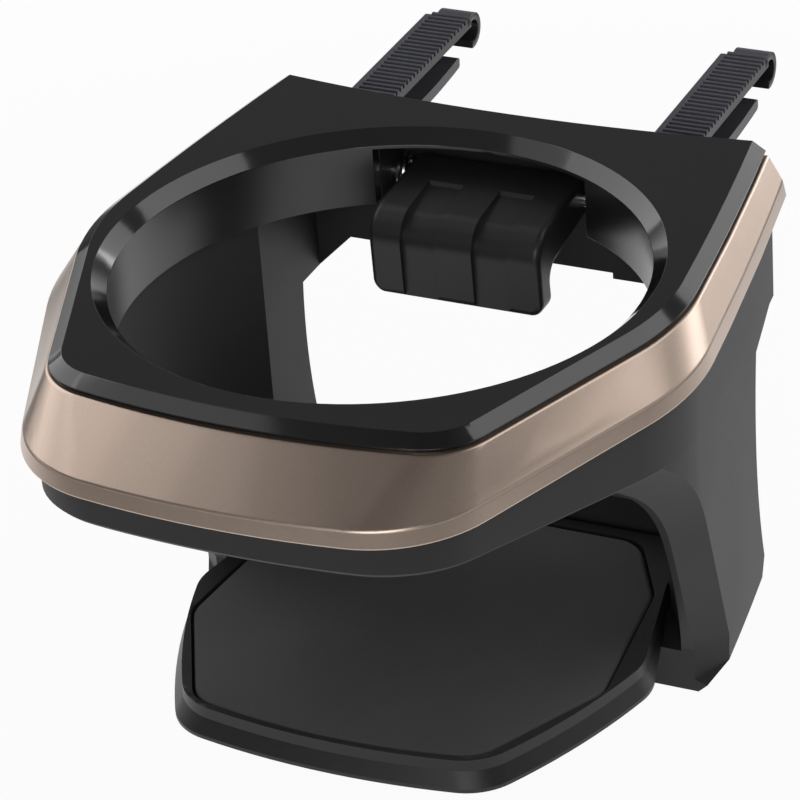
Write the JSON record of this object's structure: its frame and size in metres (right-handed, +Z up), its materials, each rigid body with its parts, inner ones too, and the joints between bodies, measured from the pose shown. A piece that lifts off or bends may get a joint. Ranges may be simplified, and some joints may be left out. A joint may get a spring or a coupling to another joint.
{
  "type": "car cup holder",
  "caption": "Vent-clip car cup holder: a gloss ring with a champagne trim band and a sprung cup arm, carried by legs over a padded tray, with ribbed hook belts and jaws behind.",
  "frame": {"origin": "middle of the whole outline in plan, on the level of the base's underside", "axes": "+Z up along the cup, +Y to the rear towards the vent, +X to the right seen from the front"},
  "size_m": [0.0946, 0.1358, 0.072],
  "materials": {
    "gloss_cover": "polished black",
    "champagne_trim": "satin champagne metallic paint",
    "matt_housing": "fine matt grain",
    "matt_tray": "fine matt grain",
    "soft_pad": "matt silicone",
    "arm": "satin",
    "belt": "satin blue-grey",
    "jaw": "satin blue-grey",
    "steel": "bright"
  },
  "bodies": {
    "holder": {"top_cover": "gloss_cover", "trim_band": "champagne_trim", "housing": "matt_housing", "tray": "matt_tray", "tray_pad": "soft_pad", "tray_screws": "steel", "fin_jaw_left": "jaw", "fin_jaw_right": "jaw", "arm_pin": "steel", "arm_spring": "steel"},
    "arm": {"cup_arm": "arm"},
    "belt_left": {"hook_belt_left": "belt"},
    "belt_right": {"hook_belt_right": "belt"}
  },
  "joints": [
    {"name": "arm_swing", "type": "hinge", "parent": "holder", "child": "arm", "pos_m": [0, 0.0267, 0.0628], "axis": [1, 0, 0], "range_deg": [0, 70], "stiffness_Nm_per_rad": 0.03, "springref_deg": -34.38, "deforming": ["arm_spring"]},
    {"name": "belt_left_slide", "type": "slide", "parent": "holder", "child": "belt_left", "axis": [0, 1, 0], "range_m": [-0.0015, 0.004]},
    {"name": "belt_right_slide", "type": "slide", "parent": "holder", "child": "belt_right", "axis": [0, 1, 0], "range_m": [-0.0015, 0.004]}
  ]
}
